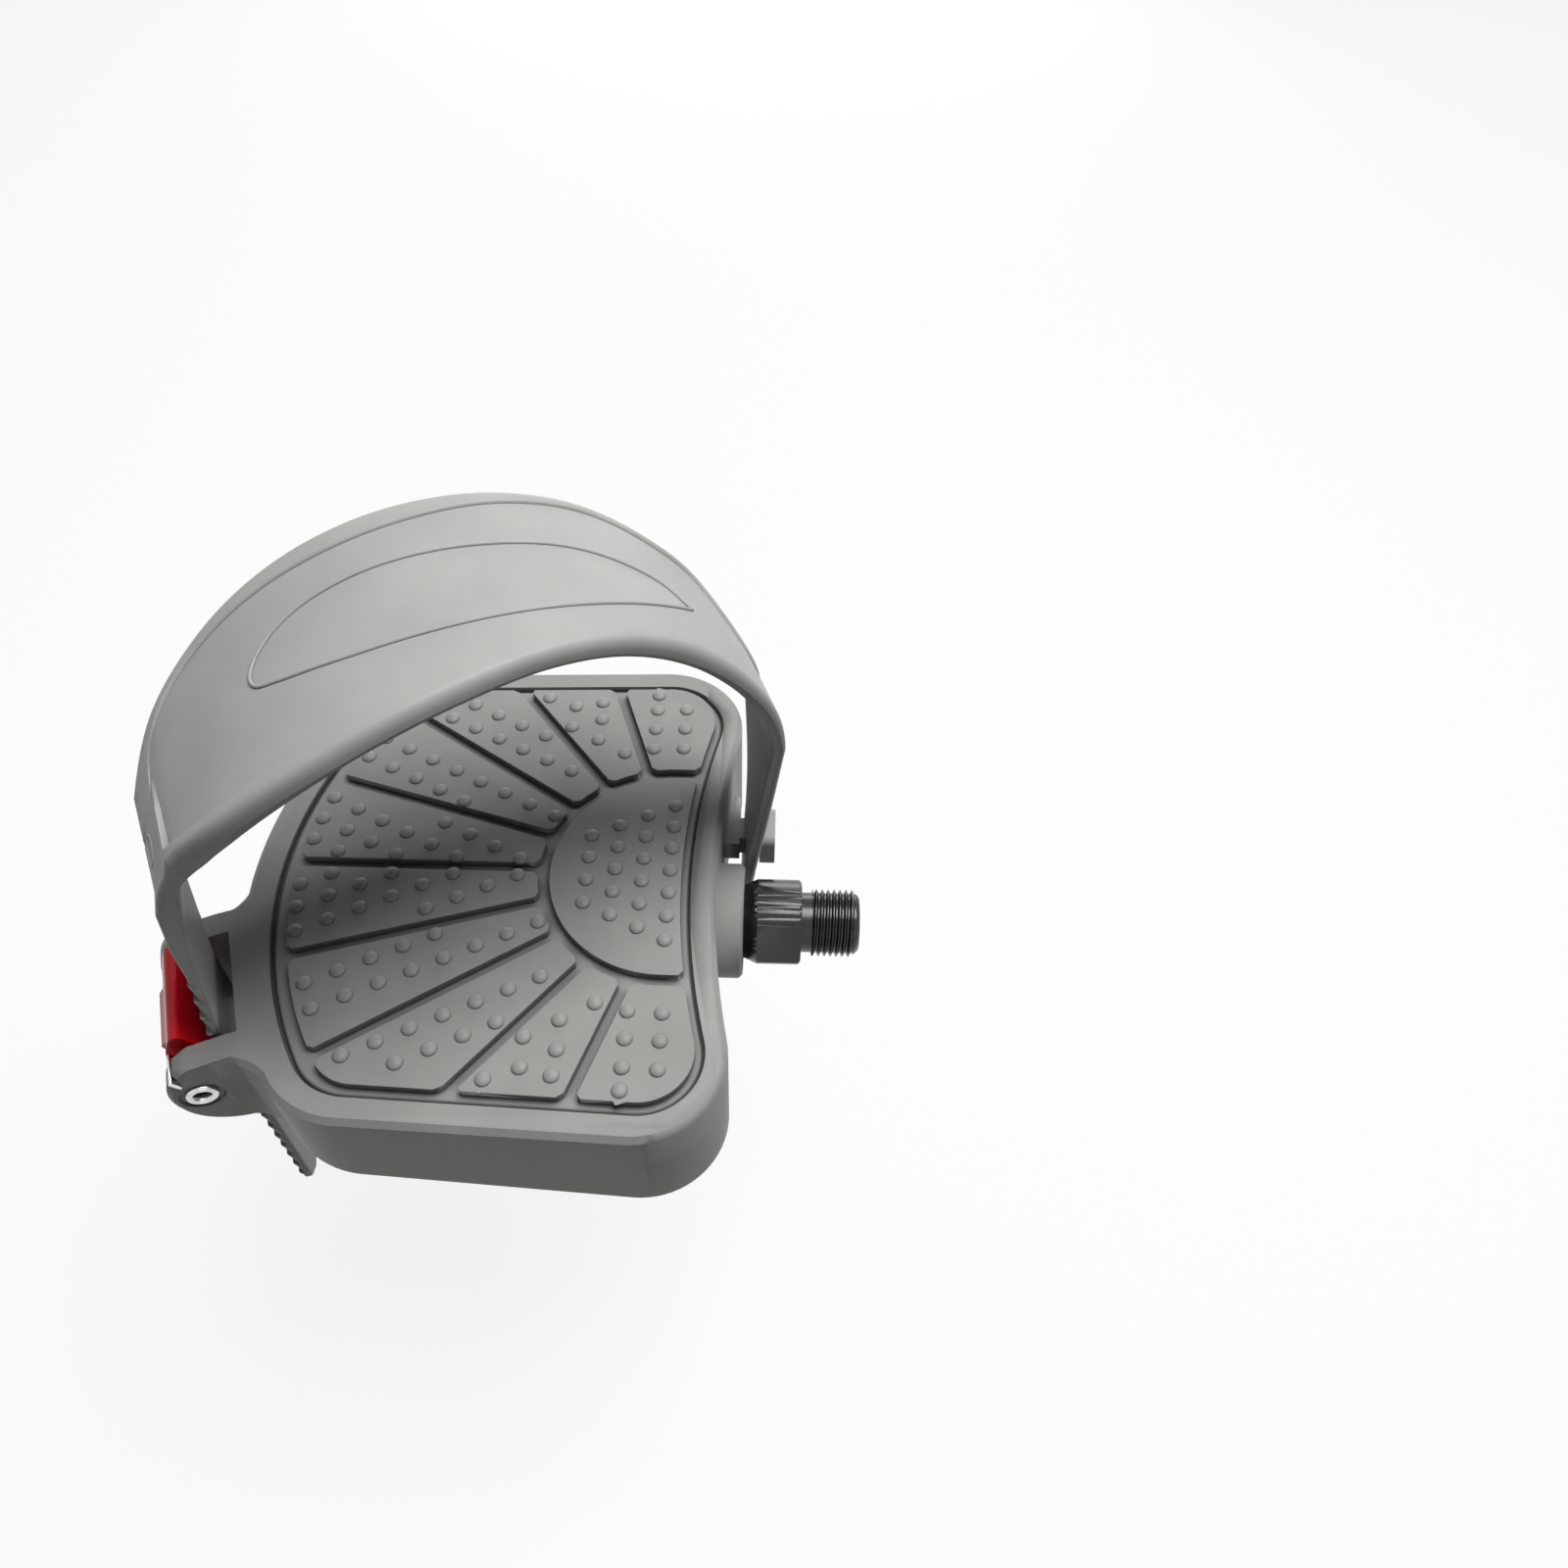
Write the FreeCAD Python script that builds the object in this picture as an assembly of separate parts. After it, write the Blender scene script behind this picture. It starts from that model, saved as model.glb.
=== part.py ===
import FreeCAD, Part
import os
from math import atan2, cos, radians, sin, sqrt

V = FreeCAD.Vector

# Left pedal of an exercise bike, in mm. The origin is on the spindle axis at the
# middle of the crank thread, +X points at the crank, +Y at the toes, +Z up.

# Spindle, from the crank end inwards
thread_diameter = 14.29
thread_length = 9.9
thread_chamfer = 1.4
neck_diameter = 12.8
neck_length = 2.4
collar_diameter = 18.1
collar_length = 9.3
collar_chamfer = 0.5
wrench_size = 15.0
wrench_flat_turn = 72.5
serration_count = 6
serration_pitch = 9.5
serration_side = 0.7
serration_lead = 36.0
cone_length = 2.9
shoulder_diameter = 15.5
inner_journal_diameter = 13.0
outer_journal_diameter = 10.0
journal_relief = 2.0
end_thread_diameter = 8.0

# Bearings inside the hub
hub_diameter = 24.4
hub_chamfer = 0.8
bush_diameter = 20.0
inner_bush_length = 14.0
outer_bush_diameter = 16.0
outer_bush_length = 12.0
hub_clear_diameter = 17.0
washer_thickness = 1.0
seal_diameter = 21.2
seal_width = 2.4
seal_inset = 0.3
nut_across_flats = 13.0
nut_height = 7.5
nut_insert_height = 2.0
nut_insert_wall = 1.2
nut_collar_step = 0.3
thread_stand = 1.0
cap_diameter = 20.4
cap_thickness = 1.6
cap_skirt = 3.2
cap_wall = 1.4
cap_room = 1.6
running_gap = 0.03
press_gap = 0.01
seal_gap = 0.05
axial_gap = 0.05

# Platform, plan sizes from the centre that the tread grooves fan out from
tread_height = 18.3
boss_length = 5.7
rim_to_fan = 7.1
half_width = 57.4
side_taper = 0.045
crank_curve = 185.0
tread_curve = 157.0
crank_corner = 17.0
outer_radius = 86.4
outer_corner = 19.0
rim_height = 17.1
rim_chamfer = 1.1
rim_width = 5.0
outer_rim_width = 5.7
bottom_at_fan = -9.6
bottom_slope = 0.0565
wall = 3.0
deck_thickness = 3.4
rib_thickness = 2.0
rib_setback = 2.0
rib_pitch_across = 24.0
rib_pitch_along = 26.0
hub_end_inset = 1.4

# Tread pad
pad_seam = 0.4
pad_base = 1.2
border_width = 1.6
outer_border_width = 3.2
groove_depth = 2.0
groove_width = 2.34
groove_angles = (0.0, 16.42, 33.41, 51.48, 71.07)
heart_radius = 24.2
heart_offset = 2.3
pad_corner = 1.0
stud_diameter = 3.2
stud_top_diameter = 1.7
stud_height = 1.1
stud_sink = 0.2
stud_sides = 5

# Buckle at the outer edge, turned about the fan centre
buckle_turn = 20.0
slot_stand = 1.0
slot_near = -8.0
slot_far = 14.6
slot_wall = 4.0
ear_thickness = 4.9
ear_radius = 13.2
ear_stand = 2.1
ear_centre_height = 6.4
ear_root_depth = 7.4
ear_chamfer = 0.9
blend_sweep = 76.0
blend_sink = 0.5
near_blend_radius = 10.0
near_blend_start = 3.5
far_blend_radius = 8.0
far_blend_start = 7.0
pin_stand = 9.7
pin_height = 6.3
pin_diameter = 4.0
pin_bore = 2.6
pin_head_diameter = 7.2
pin_head_height = 0.9
pin_recess_depth = 0.5
pin_recess_gap = 0.5

# Ratchet lever, section sizes from its pin
lever_side_gap = 1.5
lever_far_gap = 0.8
lever_height = 11.6
lever_top_width = 2.2
lever_reach = 4.5
lever_drop = 4.9
lever_back = 2.1
lever_heel = 3.0
lever_neck = 1.8
lever_neck_height = 7.5
lever_crown = 0.5
lever_lean = 0.5
pawl_reach = 3.9
pawl_height = 3.0
grip_ridge = 0.8
grip_ridge_height = 3.2
grip_ridge_drop = 1.5
grip_ridge_inset = 2.4
grip_ridge_far_inset = 6.0
lever_pin_gap = 0.06

# Lever spring
spring_wire = 0.8
spring_turns = 3
spring_gap = 0.15
spring_notch_gap = 0.3
spring_pocket_gap = 0.4
spring_hook_length = 2.2
spring_side_gap = 0.1
spring_notch_turn = 36.0
spring_steps = 8
wire_lean = 0.2

# Strap
strap_thickness = 3.2
arch_outer_stand = 0.6
arch_crank_stand = 13.1
arch_spring = 42.8
arch_rise = 43.8
arch_steps = 24
leg_steps = 5
panel_end_angle = 160.0
leg_heel = 4.0
leg_toe = 22.6
leg_turn_power = 1.4
foot_gap = 4.5
foot_height = -7.7
foot_width = 15.2
foot_toe = 28.4
tail_heel = -7.3
tail_width = 19.0
tail_base = 2.0
tail_tooth = 1.0
tail_pitch = 5.0
tail_start_angle = 152.0
tail_bend_stand = -0.8
tail_bend_height = 44.3
tail_slot_stand = 2.2
tail_hang_stand = 3.6
tail_end = -58.5

# Lug that the strap hooks on
lug_side = 22.3
lug_height = 0.6
lug_neck = 5.6
lug_head_width = 10.0
lug_head_height = 9.5
lug_head_thickness = 3.4
lug_corner = 2.0
lug_gap = 0.9
lug_root_width = 13.2
lug_root_shift = 2.2
lug_root_gap = 0.4
strap_hole_gap = 0.35

# Stations along the spindle
neck_start = -thread_length / 2
collar_start = neck_start - neck_length
cone_start = collar_start - collar_length
boss_face = cone_start - cone_length
shoulder_face = boss_face - seal_inset - seal_width - axial_gap
inner_bush_start = shoulder_face - washer_thickness - 2 * axial_gap
inner_bush_end = inner_bush_start - inner_bush_length
fan_x = boss_face - boss_length - rim_to_fan
hub_end = fan_x - outer_radius + hub_end_inset
spindle_end = hub_end + cap_skirt + cap_room
nut_outer = spindle_end + thread_stand
outer_washer = nut_outer + nut_height
outer_bush_end = outer_washer + washer_thickness + axial_gap
outer_bush_start = outer_bush_end + outer_bush_length

# Levels of the platform
groove_floor = tread_height - groove_depth
recess_floor = groove_floor - pad_base
deck_underside = recess_floor - deck_thickness

# Places out from the fan centre
slot_reach = outer_radius + slot_stand
ear_centre_reach = slot_reach + ear_stand
ear_root_reach = slot_reach - ear_root_depth
pin_reach = slot_reach + pin_stand
tail_bend_reach = slot_reach + tail_bend_stand
tail_slot_reach = slot_reach + tail_slot_stand
tail_hang_reach = slot_reach + tail_hang_stand
arch_outer = outer_radius + arch_outer_stand
arch_crank = -rim_to_fan - arch_crank_stand
arch_centre = (arch_outer + arch_crank) / 2
arch_half_span = (arch_outer - arch_crank) / 2

# Places across the buckle
near_face = slot_near - ear_thickness
far_face = slot_far + ear_thickness
foot_x = rim_to_fan + foot_gap
far_below = bottom_at_fan - outer_radius
far_out = 2 * outer_radius
past = 1.0


def buckle_point(reach, along, height):
    """Point of the buckle's turned frame: outwards, towards the toes, up."""
    c = cos(radians(buckle_turn))
    s = sin(radians(buckle_turn))
    return V(fan_x - reach * c - along * s, along * c - reach * s, height)


def along_buckle(length):
    return buckle_point(0, length, 0) - buckle_point(0, 0, 0)


def polygon_face(points):
    return Part.Face(Part.makePolygon(list(points) + [points[0]]))


def box(x0, x1, y0, y1, z0, z1):
    return Part.makeBox(x1 - x0, y1 - y0, z1 - z0, V(x0, y0, z0))


def turned(profile):
    """Solid of revolution about the spindle axis from (x, radius) points."""
    face = polygon_face([V(x, 0, r) for x, r in profile])
    return face.revolve(V(0, 0, 0), V(1, 0, 0), 360)


def ring(x0, x1, inner, outer):
    return turned([(x0, inner), (x1, inner), (x1, outer), (x0, outer)])


def joined(solids):
    return solids[0].multiFuse(list(solids[1:])).removeSplitter()


def line_arc_meet(level, slope, centre, radius, side):
    """Where y = level + slope * x meets a circle centred on the X axis."""
    a = 1 + slope * slope
    b = level * slope - centre
    c = centre * centre + level * level - radius * radius
    x = (-b + side * sqrt(b * b - a * c)) / a
    return x, level + slope * x


def plan_prism(inset, outer_inset, curve, low, high):
    """Prism of the platform's plan outline, drawn in by the insets."""
    front = rim_to_fan - inset
    reach = outer_radius - outer_inset
    side = half_width - inset
    x1, y1 = line_arc_meet(side, side_taper, front + curve, curve, -1)
    x2, y2 = line_arc_meet(side, side_taper, 0, reach, -1)
    corner = [V(fan_x + x, y, low) for x, y in ((x1, -y1), (x1, y1), (x2, y2), (x2, -y2))]
    edges = [Part.Arc(corner[0], V(fan_x + front, 0, low), corner[1]).toShape(),
             Part.makeLine(corner[1], corner[2]),
             Part.Arc(corner[2], V(fan_x - reach, 0, low), corner[3]).toShape(),
             Part.makeLine(corner[3], corner[0])]
    prism = Part.Face(Part.Wire(edges)).extrude(V(0, 0, high - low))
    upright = [e for e in prism.Edges if is_upright(e)]
    inner = [e for e in upright if e.CenterOfMass.x > fan_x - half_width / 2]
    outer = [e for e in upright if e.CenterOfMass.x <= fan_x - half_width / 2]
    prism = prism.makeFillet(crank_corner - inset, inner)
    outer = [e for e in prism.Edges if is_upright(e) and any(same_line(e, o) for o in outer)]
    return prism.makeFillet(outer_corner - outer_inset, outer)


def is_upright(edge):
    a, b = edge.Vertexes[0].Point, edge.Vertexes[-1].Point
    return abs(a.x - b.x) < 1e-6 and abs(a.y - b.y) < 1e-6


def same_line(first, second):
    gap = first.CenterOfMass - second.CenterOfMass
    return gap.Length < 1e-4


def bottom_level(x):
    """Height of the platform's sloping lower edge, x from the fan centre."""
    return bottom_at_fan - bottom_slope * x


def below_bottom(raised):
    """Everything under the sloping lower edge, raised by a setback."""
    points = [V(fan_x + x, -far_out, bottom_level(x) + raised) for x in (far_out, -far_out)]
    points += [V(fan_x + x, -far_out, far_below) for x in (-far_out, far_out)]
    return polygon_face(points).extrude(V(0, 2 * far_out, 0))


def platform_shell():
    """Rim, side walls and deck, hollow underneath."""
    shell = plan_prism(0, 0, crank_curve, far_below, rim_height)
    top = [e for e in shell.Edges if all(abs(v.Point.z - rim_height) < 1e-6 for v in e.Vertexes)]
    shell = shell.makeChamfer(rim_chamfer, top)
    return shell.cut(plan_prism(wall, wall, crank_curve, far_below - past, deck_underside))


def ribs():
    """Lattice of ribs under the deck, along and across the spindle."""
    bars = []
    y = hub_diameter / 2 + rib_pitch_across / 2
    while y < half_width - wall:
        for side in (-y, y):
            bars.append(box(fan_x - outer_radius, fan_x + half_width, side - rib_thickness / 2,
                            side + rib_thickness / 2, far_below, deck_underside))
        y += rib_pitch_across
    x = rim_to_fan - rib_pitch_along
    while x > rib_pitch_along / 2 - outer_radius:
        bars.append(box(fan_x + x - rib_thickness / 2, fan_x + x + rib_thickness / 2,
                        -half_width, half_width, far_below, deck_underside))
        x -= rib_pitch_along
    inside = plan_prism(wall / 2, wall / 2, crank_curve, far_below, rim_height)
    return joined(bars).common(inside).cut(below_bottom(rib_setback))


def hub():
    radius = hub_diameter / 2
    return turned([(boss_face, 0), (boss_face, radius - hub_chamfer), (boss_face - hub_chamfer, radius),
                   (hub_end, radius), (hub_end, 0)])


def hub_bores():
    """Stepped bore for seal, bushes, nut and cap."""
    seal = ring(shoulder_face - washer_thickness - axial_gap, boss_face + past, 0, seal_diameter / 2)
    inner = ring(inner_bush_end, boss_face, 0, bush_diameter / 2)
    middle = ring(outer_bush_start, boss_face, 0, hub_clear_diameter / 2)
    outer = ring(outer_bush_end, boss_face, 0, outer_bush_diameter / 2)
    nut = ring(hub_end - past, outer_bush_end, 0, cap_diameter / 2)
    return joined([seal, inner, middle, outer, nut])


def ear(start):
    """One ear of the buckle: a bevelled disc on a root, it carries the lever pin."""
    disc = Part.makeCylinder(ear_radius, ear_thickness,
                             buckle_point(ear_centre_reach, start, ear_centre_height), along_buckle(1))
    disc = disc.makeChamfer(ear_chamfer, [e for e in disc.Edges if e.isClosed()])
    low = ear_centre_height - ear_radius + ear_chamfer
    corners = [(ear_root_reach, low), (ear_centre_reach, low),
               (ear_centre_reach, rim_height), (ear_root_reach, rim_height)]
    root = polygon_face([buckle_point(r, start, z) for r, z in corners])
    return disc.fuse(root.extrude(along_buckle(ear_thickness)))


def blend(face_along, toward, radius, reach):
    """Concave sweep from the rim into the outer face of an ear, bevelled like the rim."""
    centre = face_along + toward * radius
    half_sweep = radians(blend_sweep / 2)
    end_along = centre - toward * radius * cos(2 * half_sweep)
    inside = face_along - toward * ear_thickness / 2
    meet = sqrt(outer_radius ** 2 - end_along ** 2) - blend_sink
    start = buckle_point(reach, face_along, far_below)
    middle = buckle_point(reach - radius * sin(half_sweep), centre - toward * radius * cos(half_sweep),
                          far_below)
    end = buckle_point(meet, end_along, far_below)
    inner = buckle_point(meet - wall, end_along, far_below)
    back = buckle_point(meet - wall, inside, far_below)
    front = buckle_point(reach, inside, far_below)
    edges = [Part.Arc(start, middle, end).toShape(), Part.makeLine(end, inner),
             Part.makeLine(inner, back), Part.makeLine(back, front), Part.makeLine(front, start)]
    prism = Part.Face(Part.Wire(edges)).extrude(V(0, 0, rim_height - far_below))
    swept = [e for e in prism.Edges if isinstance(e.Curve, Part.Circle) and e.CenterOfMass.z > 0]
    return prism.makeChamfer(rim_chamfer, swept)


def slot_block():
    """Flat wall that the strap's tail runs down behind the lever."""
    corners = [(slot_reach, near_face), (slot_reach, far_face),
               (slot_reach - slot_wall, far_face), (slot_reach - slot_wall, near_face)]
    face = polygon_face([buckle_point(r, t, far_below) for r, t in corners])
    return face.extrude(V(0, 0, rim_height - far_below))


def pin_cylinder(diameter, start, end):
    return Part.makeCylinder(diameter / 2, end - start, buckle_point(pin_reach, start, pin_height),
                             along_buckle(1))


def lug():
    """T-shaped lug with a wide root on the crank side; the strap's end hooks over it."""
    neck_end = foot_x + strap_thickness + lug_gap
    half = lug_neck / 2
    neck = box(fan_x + rim_to_fan - wall / 2, fan_x + neck_end + lug_head_thickness / 2,
               lug_side - half, lug_side + half, lug_height - half, lug_height + half)
    head = box(fan_x + neck_end, fan_x + neck_end + lug_head_thickness,
               lug_side - lug_head_width / 2, lug_side + lug_head_width / 2,
               lug_height - lug_head_height / 2, lug_height + lug_head_height / 2)
    lengthwise = [e for e in head.Edges if abs(e.Length - lug_head_thickness) < 1e-6]
    root_side = lug_side + lug_root_shift
    root = box(fan_x + rim_to_fan - wall / 2, fan_x + foot_x - lug_root_gap, root_side - lug_root_width / 2,
               root_side + lug_root_width / 2, lug_height - half, lug_height + half)
    return joined([neck, head.makeFillet(lug_corner, lengthwise), root])


def ear_place(radius, aside):
    """Reach and height of a place by the ear's notch, from the ear's centre."""
    c = cos(radians(spring_notch_turn))
    s = sin(radians(spring_notch_turn))
    return ear_centre_reach + radius * c - aside * s, ear_centre_height + radius * s + aside * c


def spring_notch():
    """Notch in the near ear's outer edge that the spring's end lies in."""
    half = spring_wire / 2 + spring_notch_gap
    depth = spring_wire + spring_notch_gap
    corners = [(-depth, -half), (depth, -half), (depth, half), (-depth, half)]
    places = [ear_place(ear_radius + r, h) for r, h in corners]
    face = polygon_face([buckle_point(reach, near_face - past, height) for reach, height in places])
    return face.extrude(along_buckle(ear_thickness + 2 * past))


def pedal_body():
    outside = joined([platform_shell(), slot_block(),
                      blend(near_face, -1, near_blend_radius, pin_reach - near_blend_start),
                      blend(far_face, 1, far_blend_radius, pin_reach - far_blend_start)])
    outside = outside.cut(below_bottom(0))
    body = joined([outside, ribs(), hub(), ear(near_face), ear(slot_far), lug()])
    recess = plan_prism(rim_width, outer_rim_width, tread_curve, recess_floor, tread_height)
    recess_diameter = pin_head_diameter + 2 * pin_recess_gap
    pin_holes = [pin_cylinder(pin_diameter + 2 * press_gap, near_face - past, far_face + past),
                 pin_cylinder(recess_diameter, near_face - past, near_face + pin_recess_depth),
                 pin_cylinder(recess_diameter, far_face - pin_recess_depth, far_face + past)]
    return body.cut([recess, hub_bores(), spring_notch()] + pin_holes)


def heart_shape(grow, low, high):
    """Half-round centre pad, open towards the crank, grown by a groove."""
    radius = heart_radius + grow
    disc = Part.makeCylinder(radius, high - low, V(fan_x - heart_offset, 0, low))
    strip = box(fan_x - heart_offset, fan_x + half_width, -radius, radius, low, high)
    return disc.fuse(strip).removeSplitter()


def grooves():
    low = groove_floor
    high = tread_height + past
    cuts = []
    for angle in groove_angles:
        for side in ((1, -1) if angle else (1,)):
            slot = box(-outer_radius, -heart_radius, -groove_width / 2, groove_width / 2, low, high)
            slot.rotate(V(0, 0, 0), V(0, 0, 1), -side * angle)
            slot.translate(V(fan_x, 0, 0))
            cuts.append(slot)
    cuts = [joined(cuts).cut(heart_shape(groove_width / 2, low, high))]
    cuts.append(heart_shape(groove_width, low, high).cut(heart_shape(0, low, high)))
    return cuts


def trimmed_pad(pad):
    """A tread pad with its upright corners cut back."""
    corners = []
    for edge in pad.Edges:
        if is_upright(edge):
            faces = pad.ancestorsOfType(edge, Part.Face)
            middle = edge.CenterOfMass
            normals = [f.normalAt(*f.Surface.parameter(middle)) for f in faces]
            if normals[0].getAngle(normals[1]) > radians(25):
                corners.append(edge)
    return pad.makeChamfer(pad_corner, corners)


def frustum(lower, upper):
    """Solid with flat sides between two polygons of as many corners."""
    faces = [polygon_face(lower), polygon_face(upper)]
    for i, corner in enumerate(lower):
        faces.append(polygon_face([lower[i - 1], corner, upper[i], upper[i - 1]]))
    return Part.makeSolid(Part.makeShell(faces))


def stud(x, y):
    """One small grip stud, a five-sided frustum sunk slightly in its pad."""
    corners = []
    for diameter, height in ((stud_diameter, -stud_sink), (stud_top_diameter, stud_height)):
        turns = [radians(360 * (i + 0.5) / stud_sides) for i in range(stud_sides)]
        corners.append([V(fan_x + x + diameter / 2 * cos(t), y + diameter / 2 * sin(t),
                          tread_height + height) for t in turns])
    return frustum(corners[0], corners[1])


def on_a_pad(pads, x, y):
    """True if a stud's place is on one of the pads and not over a groove or the rim."""
    foot = V(fan_x + x, y, tread_height - stud_sink)
    return any(pad.isInside(foot, 1e-6, True) for pad in pads)


def stud_places():
    """Rows of studs, each a first place, a step and a count, mirrored in Y."""
    slant = (5.62, -2.86)
    steep = (6.2, -3.65)
    square = (0.0, -5.7)
    rows = [(-73.9, 16.4, slant, 6), (-75.0, 10.9, slant, 4), (-75.6, 5.6, slant, 2),
            (-49.7, 10.6, slant, 4), (-69.2, 27.8, slant, 5), (-66.6, 33.1, slant, 8),
            (-58.9, 42.4, slant, 7), (-48.9, 43.6, slant, 4), (-32.6, 47.6, steep, 3),
            (-26.6, 37.9, steep, 3), (-20.5, 46.6, steep, 1), (-8.0, 49.2, square, 4),
            (-1.5, 43.8, square, 3)]
    places = []
    for x, y, step, count in rows:
        for i in range(count):
            for side in (1, -1):
                places.append((x + i * step[0], side * (y + i * step[1])))
    for column, count in enumerate((7, 6, 5, 4)):
        for i in range(count):
            places.append((-2.2 - 5.6 * column, 5.5 * (i - (count - 1) / 2)))
    return places


def tread_pad():
    """Rubber tread: thin floor with a fan of raised pads and their studs."""
    seam = rim_width + pad_seam
    outer_seam = outer_rim_width + pad_seam
    floor = plan_prism(seam, outer_seam, tread_curve, recess_floor, groove_floor)
    field = plan_prism(seam + border_width, outer_seam + outer_border_width, tread_curve,
                       groove_floor, tread_height)
    pads = [trimmed_pad(pad) for pad in field.cut(grooves()).Solids]
    studs = [stud(x, y) for x, y in stud_places() if on_a_pad(pads, x, y)]
    return joined([floor] + pads + studs)


def spindle():
    thread = thread_diameter / 2
    collar = collar_diameter / 2
    shoulder = shoulder_diameter / 2
    inner_journal = inner_journal_diameter / 2
    outer_journal = outer_journal_diameter / 2
    end_thread = end_thread_diameter / 2
    thread_end = thread_length / 2
    shaft = turned([(thread_end, 0), (thread_end, thread - thread_chamfer),
                    (thread_end - thread_chamfer, thread),
                    (neck_start, thread), (neck_start, neck_diameter / 2), (collar_start, neck_diameter / 2),
                    (collar_start, collar - collar_chamfer), (collar_start - collar_chamfer, collar),
                    (cone_start, collar), (boss_face, shoulder), (shoulder_face, shoulder),
                    (shoulder_face, inner_journal), (outer_bush_start + journal_relief, inner_journal),
                    (outer_bush_start + journal_relief, outer_journal),
                    (outer_bush_end, outer_journal),
                    (outer_bush_end, end_thread), (spindle_end, end_thread), (spindle_end, 0)])
    cuts = []
    for turn in (wrench_flat_turn, wrench_flat_turn + 180):
        flat = box(cone_start, collar_start + past, -collar_diameter, collar_diameter,
                   wrench_size / 2, collar_diameter)
        flat.rotate(V(0, 0, 0), V(1, 0, 0), turn)
        cuts.append(flat)
    half = serration_side / 2
    for i in range(serration_count):
        groove = box(cone_start, collar_start + past, -half, half, -half, half)
        groove.rotate(V(0, 0, 0), V(1, 0, 0), 45)
        groove.translate(V(0, 0, collar))
        groove.rotate(V(0, 0, 0), V(1, 0, 0), wrench_flat_turn - serration_lead - i * serration_pitch)
        cuts.append(groove)
    return shaft.cut(cuts)


def axle_seal():
    start = boss_face - seal_inset
    return ring(start - seal_width, start, shoulder_diameter / 2 + seal_gap, seal_diameter / 2 - press_gap)


def inner_thrust_washer():
    start = shoulder_face - axial_gap
    return ring(start - washer_thickness, start, inner_journal_diameter / 2 + seal_gap,
                seal_diameter / 2 - seal_gap)


def inner_bush():
    return ring(inner_bush_end, inner_bush_start, inner_journal_diameter / 2 + running_gap,
                bush_diameter / 2 - press_gap)


def outer_bush():
    return ring(outer_bush_end, outer_bush_start, outer_journal_diameter / 2 + running_gap,
                outer_bush_diameter / 2 - press_gap)


def outer_thrust_washer():
    return ring(outer_washer, outer_washer + washer_thickness, end_thread_diameter / 2 + seal_gap,
                outer_bush_diameter / 2)


def axle_nut():
    """Hexagon lock nut with a round collar that holds its insert."""
    hexagon = []
    corner = nut_across_flats / 2 / cos(radians(30))
    for i in range(6):
        hexagon.append(V(nut_outer + nut_insert_height, corner * sin(radians(60 * i)),
                         corner * cos(radians(60 * i))))
    nut = polygon_face(hexagon).extrude(V(nut_height - nut_insert_height, 0, 0))
    collar = ring(nut_outer, nut_outer + nut_insert_height,
                  end_thread_diameter / 2 + nut_insert_wall, nut_across_flats / 2 - nut_collar_step)
    return nut.cut(ring(nut_outer, outer_washer, 0, end_thread_diameter / 2 + press_gap)).fuse(collar)


def nut_insert():
    return ring(nut_outer, nut_outer + nut_insert_height, end_thread_diameter / 2 + press_gap,
                end_thread_diameter / 2 + nut_insert_wall - press_gap)


def dust_cap():
    """Cup-shaped plug pressed in the outer end of the hub."""
    outer = cap_diameter / 2 - press_gap
    inner = outer - cap_wall
    return turned([(hub_end, 0), (hub_end, outer), (hub_end + cap_skirt, outer),
                   (hub_end + cap_skirt, inner), (hub_end + cap_thickness, inner),
                   (hub_end + cap_thickness, 0)])


def lever_pin():
    """Hollow rivet through both ears with a rolled rim at each end."""
    start = near_face + pin_recess_depth
    end = far_face - pin_recess_depth
    pin = joined([pin_cylinder(pin_diameter, start, end),
                  pin_cylinder(pin_head_diameter, start - pin_head_height, start),
                  pin_cylinder(pin_head_diameter, end, end + pin_head_height)])
    return pin.cut(pin_cylinder(pin_bore, near_face - past, far_face + past))


def lever_prism(points, arcs, start, end):
    """Extrude a lever section; points and arc middles are from the pin."""
    def at(place):
        return buckle_point(pin_reach + place[0], start, pin_height + place[1])
    edges = []
    for i, point in enumerate(points):
        following = points[(i + 1) % len(points)]
        if i in arcs:
            edges.append(Part.Arc(at(point), at(arcs[i]), at(following)).toShape())
        else:
            edges.append(Part.makeLine(at(point), at(following)))
    return Part.Face(Part.Wire(edges)).extrude(along_buckle(end - start))


def ratchet_lever():
    """Thumb lever with the pawl that catches the strap's teeth."""
    start = slot_near + lever_side_gap
    end = slot_far - lever_far_gap
    crown = lever_height - lever_crown
    front = lever_reach - lever_lean
    points = [(-pawl_reach, pawl_height), (-lever_neck, lever_neck_height), (0, crown),
              (lever_top_width, crown), (front, -lever_back), (-lever_back, -lever_heel)]
    arcs = {2: (lever_top_width / 2, lever_height), 3: (lever_reach, pawl_height),
            4: (lever_reach / 4, -lever_drop)}
    lever = lever_prism(points, arcs, start, end)
    ridge = [(lever_top_width, crown - grip_ridge_drop),
             (front + grip_ridge, pawl_height + grip_ridge_height),
             (front, pawl_height), (lever_top_width, pawl_height)]
    lever = lever.fuse(lever_prism(ridge, {}, start + grip_ridge_inset, end - grip_ridge_far_inset))
    hole = pin_cylinder(pin_diameter + 2 * lever_pin_gap, start - past, end + past)
    coil_diameter = pin_diameter + 2 * spring_gap + 2 * spring_wire
    pocket = pin_cylinder(coil_diameter + 2 * spring_pocket_gap, start - past, spring_end() + spring_wire)
    return lever.cut([hole, pocket])


def spring_end():
    return slot_near + spring_wire + spring_turns * (spring_wire + spring_gap)


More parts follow.
